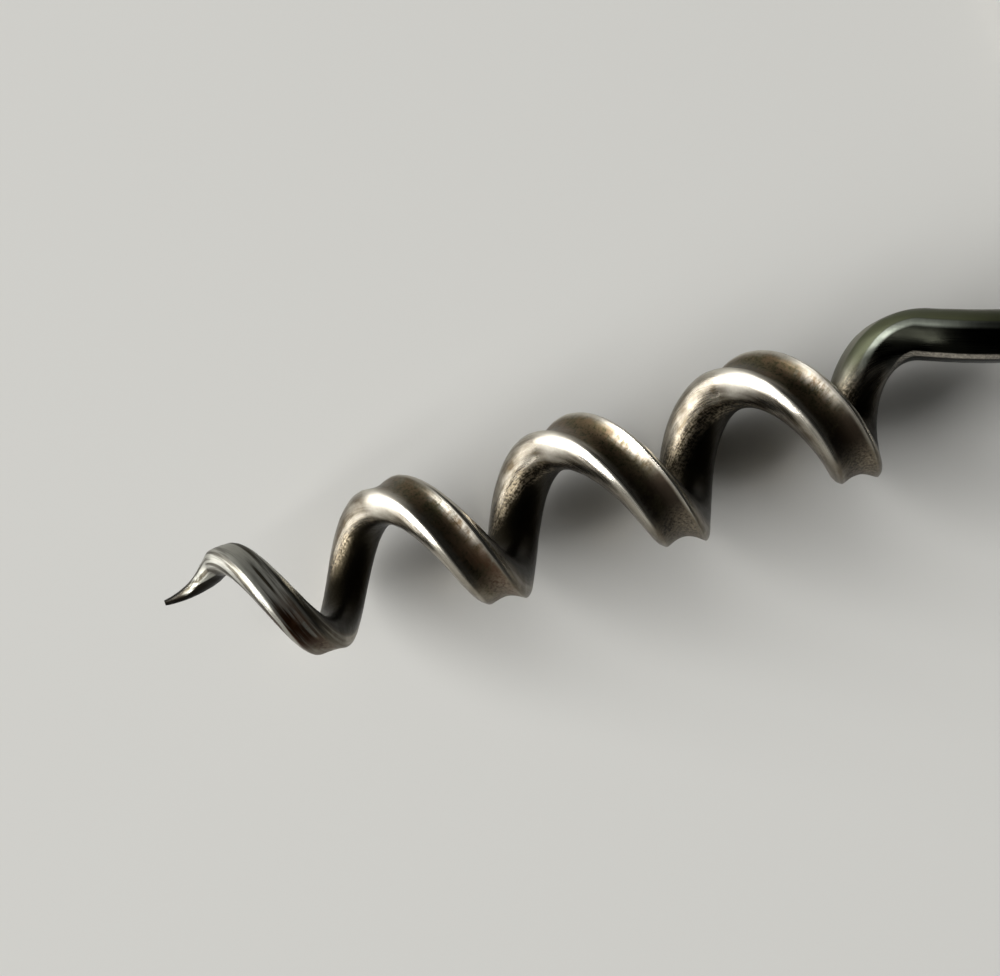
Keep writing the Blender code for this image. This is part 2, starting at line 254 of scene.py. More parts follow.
# How much of what is under it each layer of skin or of painted light and shade covers, and what takes from
# that
SPOT_COVER = 0.7
SCRAPE_AND_HIGHLIGHT_COVER = 0.75
RUST_COVER = 0.95
TROUGH_COVER = 0.65
POINT_COVER = 0.85
POINT_COVER_LOST_IN_TROUGH = 0.6
DARK_END_COVER = 0.9
SHANK_RIM_REFLECTION_COVER = 0.8
PEG_RUST_COVER = 0.4
# Painted shade: how much of the lips' brightness is taken back on rising strands
LIP_SHADE_RISING = 0.45
# Painted shade: how much the lit pit edges darken towards the troughs
PIT_EDGES_SHADE_LOW = 0.4

# What each measure of a skin adds up: a plain level, and amounts of parts, patterns from their middle
WORM_AMOUNTS = {
    "tarnish": {"plain": 0.4, "blotches": 2.6, "streaks": 2.2, "low down": 0.35},
    "wear": {"plain": 1.25, "streaks": 1.5, "blotches": 1.2, "trough": -0.9, "low down": -0.45},
    "shoulder sheen": {"plain": 0.75, "blotches": 1.6, "specks": 0.8},
    "olive": {"plain": 0.0, "hollow": 1.6, "blotches": 0.9},
    "mottle": {"plain": 0.5, "blotches": 1.0, "specks": 0.9},
    "spots": {"plain": 0.5, "specks": 1.0, "blotches": 0.3},
    "rust patches": {"plain": 0.5, "blotches": 1.0, "specks": 0.4, "side": -120.0, "late": 0.14},
    "streak cover": {"plain": 0.85, "chatter": 0.6},
    "line cover": {"plain": 0.42, "specks": 1.6},
    "pit lit side": {"plain": 0.0, "side": 1.0, "blotches": 1.2 * MM, "late": 0.55 * MM},
    "pit marks": {"plain": 0.5, "specks": 0.65, "grain": 0.35},
    "roughness": {
        "plain": 0.26,
        "grain": 0.18,
        "olive": 0.09,
        "rust": 0.1,
        "inside": 0.05,
        "point": 0.13,
        "shoulder highlight": 0.17,
        "shoulder": 0.04,
        "trough": 0.07,
        "shank top": 0.2,
        "eye": 0.2,
        "streak": 0.12,
        "point_underside_shade": 0.1,
    },
    "metal": {"plain": 1.0, "rust": -0.2, "shank top": -0.35, "floor_reflection_line": -0.5},
    "streak relief": {"plain": 0.7, "point": 1.2},
    "chatter relief": {"plain": 0.15, "far wall": 0.5, "trough": 0.6},
    "speck relief": {"plain": 0.4, "inside": 1.4, "inside of crest": -0.9},
}
PEG_AMOUNTS = {
    "tarnish": {"plain": 0.45, "blotches": 2.4, "specks": 0.5},
    "roughness": {"plain": 0.19, "tarnish": 0.12, "rings": 0.1},
    "relief": {"plain": 0.7, "rings": 0.6, "specks": 0.8},
}
GRAIN_RELIEF = 0.5
ROUGHNESS_LIMITS = (0.1, 0.6)
WORM_RELIEF_DEPTH = 0.013 * MM
PEG_RELIEF_DEPTH = 0.01 * MM

# Fineness
STATIONS_PER_TURN = 240
POINT_STATIONS = 120
ENTRY_STATIONS = 200
NECK_STATIONS = 60
EYE_STATIONS = 200
EYE_END_TRIAL_STEP = math.radians(0.5)
SAME_PLACE = 1e-9
STATION_STEP = 0.17 * MM
POINTS_ROUND_WORM = 96
SMOOTHING_TURNS = 0.3
FLUTE_SMOOTHING = 1.5 * MM
WORM_SHARP_ANGLE = math.radians(50.0)
STEPS_ROUND_PEG = 128
PEG_TAPER_STATIONS = 60
PEG_END_STATIONS = 12
RIVET_STATIONS = 9
ARRIS_STATIONS = 5
BALL_STATIONS = 49
MERGE_DISTANCE = 0.001 * MM
PEG_SHARP_ANGLE = math.radians(40.0)


class Wire:
    """An output socket in a node tree. Arithmetic on wires adds the Math nodes that work it out."""

    def __init__(self, bench, socket):
        self.bench = bench
        self.socket = socket

    def __add__(self, other):
        return self.bench.maths("ADD", self, other)

    def __sub__(self, other):
        return self.bench.maths("SUBTRACT", self, other)

    def __rsub__(self, other):
        return self.bench.maths("SUBTRACT", other, self)

    def __mul__(self, other):
        return self.bench.maths("MULTIPLY", self, other)

    def __truediv__(self, other):
        return self.bench.maths("DIVIDE", self, other)

    def __rtruediv__(self, other):
        return self.bench.maths("DIVIDE", other, self)

    def __pow__(self, other):
        return self.bench.maths("POWER", self, other)

    def __neg__(self):
        return self.bench.maths("MULTIPLY", self, -1.0)

    __radd__ = __add__
    __rmul__ = __mul__


class Bench:
    """A node tree that is being wired up."""

    def __init__(self, tree):
        self.tree = tree

    def node(self, kind, settings=None, values=None, out=0):
        """Adds a node, its settings first, then the values or wires of its sockets."""
        made = self.tree.nodes.new(kind)
        for name, setting in (settings or {}).items():
            setattr(made, name, setting)
        for name, value in (values or {}).items():
            socket = made.inputs[name]
            if isinstance(value, Wire):
                self.tree.links.new(value.socket, socket)
            else:
                socket.default_value = value
        return Wire(self, made.outputs[out]) if made.outputs else None

    def beside(self, wire, out):
        """Another output of the node that a wire comes from."""
        return Wire(self, wire.socket.node.outputs[out])

    def maths(self, operation, *values):
        return self.node("ShaderNodeMath", {"operation": operation}, dict(enumerate(values)))

    def vectors(self, operation, *values):
        return self.node("ShaderNodeVectorMath", {"operation": operation}, dict(enumerate(values)))

    def scaled(self, vector, factor):
        values = {"Vector": vector, "Scale": factor}
        return self.node("ShaderNodeVectorMath", {"operation": "SCALE"}, values)

    def clamped(self, value):
        return self.node("ShaderNodeClamp", None, {"Value": value})

    def between(self, value, start, full):
        """The value's way from start to full, from 0 to 1, eased at both ends and held beyond them."""
        return self.node(
            "ShaderNodeMapRange",
            {"interpolation_type": "SMOOTHSTEP"},
            {"Value": value, "From Min": start, "From Max": full},
        )

    def mixed(self, factor, first, second):
        """One colour going over to another, each a wire or (red, green, blue)."""
        if not isinstance(first, Wire):
            first = (*first, 1.0)
        if not isinstance(second, Wire):
            second = (*second, 1.0)
        # The colour sockets of this node go by number, because its other kinds share their names
        values = {"Factor": factor, 6: first, 7: second}
        return self.node("ShaderNodeMix", {"data_type": "RGBA"}, values, out=2)


def part_way(first, second, share):
    """A share of the way from one number or wire to another."""
    return first + (second - first) * share


def bezier(start, start_handle, end_handle, end, count):
    """Points on a cubic curve, both ends included."""
    far = np.linspace(0.0, 1.0, count)[:, None]
    near = 1.0 - far
    return (
        near**3 * start
        + 3 * near**2 * far * start_handle
        + 3 * near * far**2 * end_handle
        + far**3 * end
    )


def radial(angle):
    """Directions away from the worm's axis, turning from +Y to +Z."""
    angle = np.asarray(angle)
    return np.stack([np.zeros_like(angle), np.cos(angle), np.sin(angle)], -1)


def eye_ray(angle):
    """Directions from the middle of the eye, turning from +X to +Z."""
    angle = np.asarray(angle)
    return np.stack([np.cos(angle), np.zeros_like(angle), np.sin(angle)], -1)


def unit(vectors):
    return vectors / np.linalg.norm(vectors, axis=-1, keepdims=True)


def eased(values, reach):
    """Values with their corners rounded off, by averaging each over its neighbours within reach."""
    padded = np.pad(values, reach, mode="reflect", reflect_type="odd")
    window = np.hanning(2 * reach + 3)[1:-1]
    return np.convolve(padded, window / window.sum(), mode="valid")


def share_at(turns, shares):
    """The shares at places along the coil, out of shares that stand half a turn apart."""
    return np.interp(turns, np.arange(len(shares)) * HALF_TURN, shares)


def coil_part():
    """Rows (centre, outward, half width, flute) along the helix, from its first crest."""
    count = round(COIL_TURNS * STATIONS_PER_TURN)
    turns = np.linspace(0.0, COIL_TURNS, count + 1)
    reach = round(SMOOTHING_TURNS * STATIONS_PER_TURN)
    steps = np.diff(turns)
    pitches = COIL_PITCH * eased(share_at(turns[1:] - steps / 2, PITCH_SHARES), reach)
    lead = eased(share_at(turns, TURN_LEAD_SHARES), reach)
    radii = COIL_RADIUS * eased(share_at(turns, RADIUS_SHARES), reach)
    centres = radial(math.tau * (turns + lead)) * radii[:, None]
    centres[:, 0] = np.concatenate([[0.0], np.cumsum(pitches * steps)])
    widths = COIL_HALF_WIDTH * eased(share_at(turns, HALF_WIDTH_SHARES), reach)
    flutes = eased(share_at(turns, FLUTE_SHARES), reach)
    return centres, radial(math.tau * turns), widths, flutes


def point_part(crest, back, crest_width, crest_flute):
    """Rows from the very point to just before the coil's first crest."""
    tip = radial(-POINT_TURN) * POINT_OFFSET - np.array([POINT_REACH, 0.0, 0.0])
    heading = unit(np.array([-1.0, 0.0, -POINT_SINK_SHARE]))
    pull = crest + back * CREST_HANDLE
    centres = bezier(tip, tip - heading * POINT_HANDLE, pull, crest, POINT_STATIONS)[:-1]
    share = np.linspace(0.0, 1.0, POINT_STATIONS)[:-1]
    drawn = (POINT_HALF_WIDTH, DRAWN_HALF_WIDTH, crest_width)
    widths = np.interp(share, (0.0, DRAWN_PLACE_SHARE, 1.0), drawn)
    flutes = np.interp(share, (0.0, 1.0), (POINT_FLUTE_SHARE, crest_flute))
    return centres, radial(-POINT_TURN * (1.0 - share)), widths, flutes


def shank_and_eye_part(last, onward, coil_width, coil_flute):
    """Rows from just after the coil to the eye's cut end, and the middle of the eye."""
    on_axis = np.array([last[0] + SHANK_ENTRY_LENGTH, 0.0, 0.0])
    along_x = np.array([1.0, 0.0, 0.0])
    entry = bezier(
        last,
        last + onward * COIL_END_HANDLE,
        on_axis - along_x * SHANK_ENTRY_HANDLE,
        on_axis,
        ENTRY_STATIONS,
    )[1:]
    share = np.linspace(0.0, 1.0, ENTRY_STATIONS)[1:]
    entry_widths = np.interp(share, (0.0, SHANK_WIDTH_PLACE_SHARE), (coil_width, SHANK_HALF_WIDTH))
    entry_flutes = np.interp(share, (0.0, FLUTE_END_PLACE_SHARE), (coil_flute, 0.0))

    neck_start = on_axis + along_x * SHANK_STRAIGHT_LENGTH
    middle = neck_start + along_x * (NECK_REACH + EYE_BEND_RADIUS)
    first = math.pi + NECK_ANGLE
    onto_bend = middle + EYE_BEND_RADIUS * eye_ray(first)
    neck = bezier(
        neck_start,
        neck_start + along_x * NECK_START_HANDLE,
        onto_bend - eye_ray(first + math.pi / 2) * NECK_END_HANDLE,
        onto_bend,
        NECK_STATIONS,
    )
    neck_widths = np.linspace(SHANK_HALF_WIDTH, EYE_HALF_WIDTH, NECK_STATIONS)

    # The eye bends on until the inside, middle or outside of its cut end comes up to the neck
    room = SHANK_HALF_WIDTH + EYE_END_GAP
    across_end = EYE_BEND_RADIUS + EYE_HALF_WIDTH * np.array([-1, 0, 1])
    end = math.tau
    while end < 3 * math.pi:
        corners = middle + np.outer(across_end, eye_ray(end))
        if np.linalg.norm(corners[:, None] - neck[None], axis=-1).min() < room:
            break
        end += EYE_END_TRIAL_STEP
    angles = np.linspace(first, end, EYE_STATIONS)[1:]
    bend = middle + EYE_BEND_RADIUS * eye_ray(angles)
    from_end = EYE_BEND_RADIUS * (end - angles)
    bend_widths = EYE_HALF_WIDTH - np.clip(EYE_END_CHAMFER - from_end, 0.0, None)

    centres = np.concatenate([entry, neck, bend])
    widths = np.concatenate([entry_widths, neck_widths, bend_widths])
    flutes = np.concatenate([entry_flutes, np.zeros(len(neck) + len(bend))])
    return centres, widths, flutes, middle


def worm_rows():
    """The whole worm's rows, an even step apart, and the middle of its eye. x is from the first crest."""
    coil, coil_out, coil_widths, coil_flutes = coil_part()
    point, point_out, point_widths, point_flutes = point_part(
        coil[0], unit(coil[0] - coil[1]), coil_widths[0], coil_flutes[0]
    )
    rest, rest_widths, rest_flutes, middle = shank_and_eye_part(
        coil[-1], unit(coil[-1] - coil[-2]), coil_widths[-1], coil_flutes[-1]
    )
    centres = np.concatenate([point, coil, rest])
    outward = np.concatenate([point_out, coil_out, np.repeat(coil_out[-1:], len(rest), axis=0)])
    widths = np.concatenate([point_widths, coil_widths, rest_widths])
    flutes = np.concatenate([point_flutes, coil_flutes, rest_flutes])

    kept = np.concatenate([[True], np.linalg.norm(np.diff(centres, axis=0), axis=1) > SAME_PLACE])
    centres, outward, widths, flutes = centres[kept], outward[kept], widths[kept], flutes[kept]
    lengths = np.concatenate([[0.0], np.cumsum(np.linalg.norm(np.diff(centres, axis=0), axis=1))])
    count = round(lengths[-1] / STATION_STEP) + 1
    places = np.linspace(0.0, lengths[-1], count)

    def even(values):
        if values.ndim == 1:
            return np.interp(places, lengths, values)
        return np.stack([np.interp(places, lengths, column) for column in values.T], -1)

    centres, outward, widths, flutes = even(centres), even(outward), even(widths), even(flutes)
    tangents = unit(np.gradient(centres, axis=0))
    turned = len(point) + len(coil)
    coil_end = lengths[np.flatnonzero(kept) < turned][-1]
    for index, place in enumerate(places):
        if place > coil_end:
            outward[index] = outward[index - 1]
        tangent = tangents[index]
        outward[index] = unit(outward[index] - outward[index].dot(tangent) * tangent)
    sideways = np.cross(tangents, outward)
    return {
        "centres": centres,
        "outward": outward,
        "sideways": sideways,
        "half_width": widths,
        "flute": eased(flutes, round(FLUTE_SMOOTHING / STATION_STEP)).clip(0.0, 1.0),
        "along": places,
    }, middle


def rail_object(rows, start):
    """The worm's centreline as a chain of edges, each point carrying its row."""
    centres = rows["centres"] + np.array(start)
    mesh = bpy.data.meshes.new("worm_rail")
    count = len(centres)
    mesh.from_pydata(centres.tolist(), [(i, i + 1) for i in range(count - 1)], [])
    for name in ("outward", "sideways"):
        attribute = mesh.attributes.new(name, "FLOAT_VECTOR", "POINT")
        attribute.data.foreach_set("vector", rows[name].astype(np.float32).ravel())
    for name in ("half_width", "flute", "along"):
        attribute = mesh.attributes.new(name, "FLOAT", "POINT")
        attribute.data.foreach_set("value", rows[name].astype(np.float32))
    rail = bpy.data.objects.new("worm", mesh)
    bpy.context.scene.collection.objects.link(rail)
    return rail


FLUTED_ROD_SIZES = {
    "Points round": ("NodeSocketInt", POINTS_ROUND_WORM),
    "Inner depth": ("NodeSocketFloat", 0.87),
    "Inner squareness": ("NodeSocketFloat", 2.0),
    "Lip height": ("NodeSocketFloat", 1.0),
    "Lip squareness": ("NodeSocketFloat", 5.0),
    "Near squareness": ("NodeSocketFloat", 3.0),
    "Flute centre": ("NodeSocketFloat", -0.12),
    "Lip spread": ("NodeSocketFloat", 0.7),
    "Flute depth": ("NodeSocketFloat", 0.34),
    "Flute lean": ("NodeSocketFloat", math.radians(11.0)),
    "Uneven width": ("NodeSocketFloat", 0.025),
    "Uneven length": ("NodeSocketFloat", 4.0 * MM),
    "Dent depth": ("NodeSocketFloat", 0.022 * MM),
    "Dent size": ("NodeSocketFloat", 0.7 * MM),
    "Seed": ("NodeSocketFloat", 7.0),
    "Dent seed": ("NodeSocketFloat", 10.0),
    # Direction from the worm towards the camera: the painted reflections of the shank and the painted shade
    # under the point are laid out across it
    "Towards camera": ("NodeSocketVector", (-0.236, 0.0, 0.972)),
}


def fluted_rod_tree():
    """The tree that sweeps the fluted cut along a rail, its sizes in shares of the half width."""
    tree = bpy.data.node_groups.new("fluted_rod", "GeometryNodeTree")
    face = tree.interface
    face.new_socket("Rail", in_out="INPUT", socket_type="NodeSocketGeometry")
    for name, (kind, value) in FLUTED_ROD_SIZES.items():
        face.new_socket(name, in_out="INPUT", socket_type=kind).default_value = value
    face.new_socket("Steel", in_out="INPUT", socket_type="NodeSocketMaterial")
    face.new_socket("Rod", in_out="OUTPUT", socket_type="NodeSocketGeometry")

    bench = Bench(tree)
    inputs = bench.node("NodeGroupInput")
    size = {socket.name: Wire(bench, socket) for socket in inputs.socket.node.outputs if socket.name}

    def row(name, kind="FLOAT"):
        return bench.node("GeometryNodeInputNamedAttribute", {"data_type": kind}, {"Name": name})

    def stored(geometry, name, value, kind="FLOAT"):
        return bench.node(
            "GeometryNodeStoreNamedAttribute",
            {"data_type": kind, "domain": "POINT"},
            {"Geometry": geometry, "Name": name, "Value": value},
        )

    def ripple(place, length, seed):
        wave = bench.node(
            "ShaderNodeTexNoise",
            {"noise_dimensions": "4D"},
            {"Vector": place, "W": seed, "Scale": 1.0 / length, "Detail": 2.0},
        )
        return wave * 2.0 - 1.0

    here = bench.node("GeometryNodeInputPosition")
    railed = stored(size["Rail"], "centre", here, "FLOAT_VECTOR")
    unevenness = ripple(here, size["Uneven length"], size["Seed"])
    railed = stored(railed, "uneven", unevenness * size["Uneven width"])
    rail_curve = bench.node("GeometryNodeMeshToCurve", None, {"Mesh": railed})

    circle = bench.node("GeometryNodeCurvePrimitiveCircle", None, {"Resolution": size["Points round"]})
    order = bench.node("GeometryNodeInputIndex")
    circle = stored(circle, "ring_angle", order * math.tau / size["Points round"])
    swept = bench.node(
        "GeometryNodeCurveToMesh",
        None,
        {"Curve": rail_curve, "Profile Curve": circle, "Fill Caps": True},
    )

    angle = row("ring_angle")
    side_part = bench.maths("COSINE", angle)
    out_part = -bench.maths("SINE", angle)
    outer = bench.maths("GREATER_THAN", out_part, 0.0)
    near = bench.maths("GREATER_THAN", side_part, 0.0)
    height = part_way(size["Inner depth"], size["Lip height"], outer)
    lip_squareness = part_way(size["Lip squareness"], size["Near squareness"], near)
    squareness = part_way(size["Inner squareness"], lip_squareness, outer)
    side_power = bench.maths("ABSOLUTE", side_part) ** squareness
    out_power = (bench.maths("ABSOLUTE", out_part) / height) ** squareness
    reach = (side_power + out_power) ** (-1.0 / squareness)
    side = side_part * reach
    out = out_part * reach
    from_middle = side - size["Flute centre"]
    hollow = bench.clamped(1.0 - (from_middle / size["Lip spread"]) ** 2.0) * outer
    out = out - hollow * size["Flute depth"]
    lean_cos = bench.maths("COSINE", size["Flute lean"])
    lean_sin = bench.maths("SINE", size["Flute lean"])
    leant_out = out * lean_cos - side * lean_sin
    leant_side = out * lean_sin + side * lean_cos
    flute = row("flute")
    final_out = part_way(out_part, leant_out, flute)
    final_side = part_way(side_part, leant_side, flute)

    outward = row("outward", "FLOAT_VECTOR")
    sideways = row("sideways", "FLOAT_VECTOR")
    tangent = bench.vectors("CROSS_PRODUCT", outward, sideways)
    # How far above the rod's middle each point stands as the camera sees it, which places the painted
    # reflections and the painted shade
    upward = bench.vectors("NORMALIZE", bench.vectors("CROSS_PRODUCT", size["Towards camera"], tangent))
    offset = bench.vectors("ADD", bench.scaled(outward, final_out), bench.scaled(sideways, final_side))
    upper_in_view = bench.beside(bench.vectors("DOT_PRODUCT", offset, upward), "Value")

    half_width = row("half_width") * (row("uneven") + 1.0)
    out_length = final_out * half_width
    side_length = final_side * half_width
    offset = bench.vectors("ADD", bench.scaled(outward, out_length), bench.scaled(sideways, side_length))
    placed = bench.vectors("ADD", row("centre", "FLOAT_VECTOR"), offset)
    shaped = bench.node("GeometryNodeSetPosition", None, {"Geometry": swept, "Position": placed})

    # What the skin is laid out by: the rod as if it were straight, and where its parts are
    unrolled = {"X": out_length, "Y": side_length, "Z": row("along")}
    straight = bench.node("ShaderNodeCombineXYZ", None, unrolled)
    shaped = stored(shaped, "straight", straight, "FLOAT_VECTOR")
    slope = bench.node("ShaderNodeSeparateXYZ", None, {"Vector": tangent}, out="Y")
    off_lip = bench.maths("ABSOLUTE", bench.maths("ABSOLUTE", from_middle) - size["Lip spread"])
    lip = bench.between(off_lip, part_way(*LIP_SKIN_REACH, near), LIP_SKIN_FULL)
    inner = bench.between(-out, part_way(*INNER_SKIN_START, near), part_way(*INNER_SKIN_FULL, near))
    fluted = bench.between(flute, *FLUTED)
    places = {
        "hollow": hollow * flute,
        "upper_in_view": upper_in_view,
        "falling": -slope,
        "lip": lip * outer * flute,
        "inner": inner * fluted,
        "inner_rim": bench.between(-out, *INNER_RIM) * near * fluted,
    }
    for name, place in places.items():
        shaped = stored(shaped, name, place)

    dents = ripple(here, size["Dent size"], size["Dent seed"])
    push = bench.scaled(bench.node("GeometryNodeInputNormal"), dents * size["Dent depth"])
    dented = bench.node("GeometryNodeSetPosition", None, {"Geometry": shaped, "Offset": push})
    smooth = bench.node("GeometryNodeSetShadeSmooth", None, {"Geometry": dented})
    whole = bench.node("GeometryNodeRealizeInstances", None, {"Geometry": smooth})
    dressed = bench.node("GeometryNodeSetMaterial", None, {"Geometry": whole, "Material": size["Steel"]})
    bench.node("NodeGroupOutput", None, {"Rod": dressed})
    return tree


def swept_worm(rows, start, steel):
    """The worm as a plain mesh, swept by the tree along its rail."""
    rail = rail_object(rows, start)
    tree = fluted_rod_tree()
    maker = rail.modifiers.new("fluted_rod", "NODES")
    maker.node_group = tree
    given = {name: value for name, (kind, value) in FLUTED_ROD_SIZES.items()}
    given["Steel"] = steel
    for item in tree.interface.items_tree:
        if item.in_out == "INPUT" and item.name in given:
            maker[item.identifier] = given[item.name]
    evaluated = rail.evaluated_get(bpy.context.evaluated_depsgraph_get())
    mesh = bpy.data.meshes.new_from_object(evaluated)
    rail.modifiers.remove(maker)
    rail.data = mesh
    for name in ("outward", "sideways", "centre", "uneven", "ring_angle"):
        if name in mesh.attributes:
            mesh.attributes.remove(mesh.attributes[name])
    shell = bmesh.new()
    shell.from_mesh(mesh)
    bmesh.ops.recalc_face_normals(shell, faces=shell.faces)
    shell.to_mesh(mesh)
    shell.free()
    mesh.set_sharp_from_angle(angle=WORM_SHARP_ANGLE)
    return rail


def turned_piece(name, profile, closed, centre, steel):
    """A profile of (place along the peg, radius) turned round the peg's axis, at its place in the frame."""
    lathe = bmesh.new()
    points = [lathe.verts.new((radius, along, 0.0)) for along, radius in profile]
    pairs = list(zip(points, points[1:]))
    if closed:
        pairs.append((points[-1], points[0]))
    edges = [lathe.edges.new(pair) for pair in pairs]
    bmesh.ops.spin(
        lathe,
        geom=points + edges,
        cent=(0.0, 0.0, 0.0),
        axis=(0.0, 1.0, 0.0),
        angle=math.tau,
        steps=STEPS_ROUND_PEG,
        use_merge=True,
    )
    bmesh.ops.remove_doubles(lathe, verts=lathe.verts, dist=MERGE_DISTANCE)
    bmesh.ops.recalc_face_normals(lathe, faces=lathe.faces)
    bmesh.ops.translate(lathe, verts=lathe.verts, vec=centre)
    mesh = bpy.data.meshes.new(name)
    lathe.to_mesh(mesh)
    lathe.free()
    mesh.materials.append(steel)
    mesh.shade_smooth()
    mesh.set_sharp_from_angle(angle=PEG_SHARP_ANGLE)
    piece = bpy.data.objects.new(name, mesh)
    bpy.context.scene.collection.objects.link(piece)
    return piece


def rod_profile():
    """(place, radius) of the peg's rod, from its rivet to its plain end."""
    seat = -KNOB_LENGTH + RIVET_SINK_DEPTH - RIVET_SEAT_GAP
    taper_start = SHOULDER_GAP + PEG_EDGE_CHAMFER
    round_start = PEG_LENGTH_UNDER_KNOB - PEG_END_ROUND
    profile = []
    for angle in np.linspace(0.0, math.pi / 2, RIVET_STATIONS)[:-1]:
        profile.append((seat - RIVET_HEIGHT * math.cos(angle), RIVET_RADIUS * math.sin(angle)))
    profile += [(seat, RIVET_RADIUS), (seat, TENON_RADIUS), (SHOULDER_GAP, TENON_RADIUS)]
    profile += [(SHOULDER_GAP, PEG_RADIUS_AT_KNOB - PEG_EDGE_CHAMFER), (taper_start, PEG_RADIUS_AT_KNOB)]
    for share in np.linspace(0.0, 1.0, PEG_TAPER_STATIONS)[1:-1]:
        radius = part_way(PEG_RADIUS_AT_KNOB, PEG_RADIUS_AT_END, share)
        profile.append((part_way(taper_start, round_start, share), radius))
    for angle in np.linspace(0.0, math.pi / 2, PEG_END_STATIONS):
        place = round_start + PEG_END_ROUND * math.sin(angle)
        profile.append((place, PEG_RADIUS_AT_END * math.cos(angle)))
    return profile


def knob_profile():
    """The closed outline (place, radius) of the turned knob and of the hole through it."""
    hole = TENON_RADIUS + TENON_CLEARANCE
    sink = RIVET_RADIUS + TENON_CLEARANCE
    sink_floor = -KNOB_LENGTH + RIVET_SINK_DEPTH
    neck_start = -KNOB_COLLAR_THICKNESS
    ball_start = neck_start - KNOB_NECK_LENGTH
    quarter = np.linspace(0.0, math.pi / 2, ARRIS_STATIONS)
    growing = KNOB_ARRIS * (1 - np.cos(quarter))
    shrinking = KNOB_ARRIS * (1 - np.sin(quarter))
    profile = [(0.0, hole), (0.0, KNOB_COLLAR_RADIUS - KNOB_ARRIS)]
    profile += zip(-growing[1:], KNOB_COLLAR_RADIUS - shrinking[1:])
    profile += zip(neck_start + shrinking, KNOB_COLLAR_RADIUS - growing)
    profile.append((neck_start, KNOB_NECK_RADIUS))
    for angle in np.linspace(0.0, math.pi, BALL_STATIONS):
        along = ball_start - KNOB_BALL_THICKNESS * (1 - math.cos(angle)) / 2
        edge = part_way(KNOB_NECK_RADIUS, KNOB_FACE_RADIUS, angle / math.pi)
        profile.append((along, edge + (KNOB_RADIUS - edge) * math.sin(angle)))
    profile += [(-KNOB_LENGTH, sink), (sink_floor, sink), (sink_floor, hole)]
    return profile


def steel_start(name):
    """A new metal material, its tree to wire up and its shader."""
    material = bpy.data.materials.new(name)
    material.use_nodes = True
    shader = material.node_tree.nodes["Principled BSDF"]
    return material, Bench(material.node_tree), shader


def pattern(bench, place, size, detail, roughness):
    """Soft blotches of a size in metres, from 0 to 1."""
    values = {"Vector": place, "Scale": 1.0 / size, "Detail": detail, "Roughness": roughness}
    return bench.node("ShaderNodeTexNoise", None, values)


def drawn_out(bench, place, axis, across, along, detail, roughness):
    """The same, drawn out or pressed together along one axis."""
    scale = [1.0 / across] * 3
    scale[axis] = 1.0 / along
    return pattern(bench, bench.vectors("MULTIPLY", place, tuple(scale)), 1.0, detail, roughness)


def weighed(amounts, parts):
    """A plain level and the amounts of the parts, summed."""
    total = amounts["plain"]
    for name, amount in amounts.items():
        if name != "plain":
            total = total + parts[name] * amount
    return total


def plug(bench, shader, wires):
    for name, wire in wires.items():
        bench.tree.links.new(wire.socket, shader.inputs[name])


def finish_steel(bench, shader, colour, roughness, relief, depth):
    """Gives the shader its colour, and its roughness and relief within their limits."""
    low, high = ROUGHNESS_LIMITS
    roughness = bench.node("ShaderNodeClamp", None, {"Value": roughness, "Min": low, "Max": high})
    bump = bench.node("ShaderNodeBump", None, {"Strength": 1.0, "Distance": depth, "Height": relief})
    plug(bench, shader, {"Base Color": colour, "Roughness": roughness, "Normal": bump})


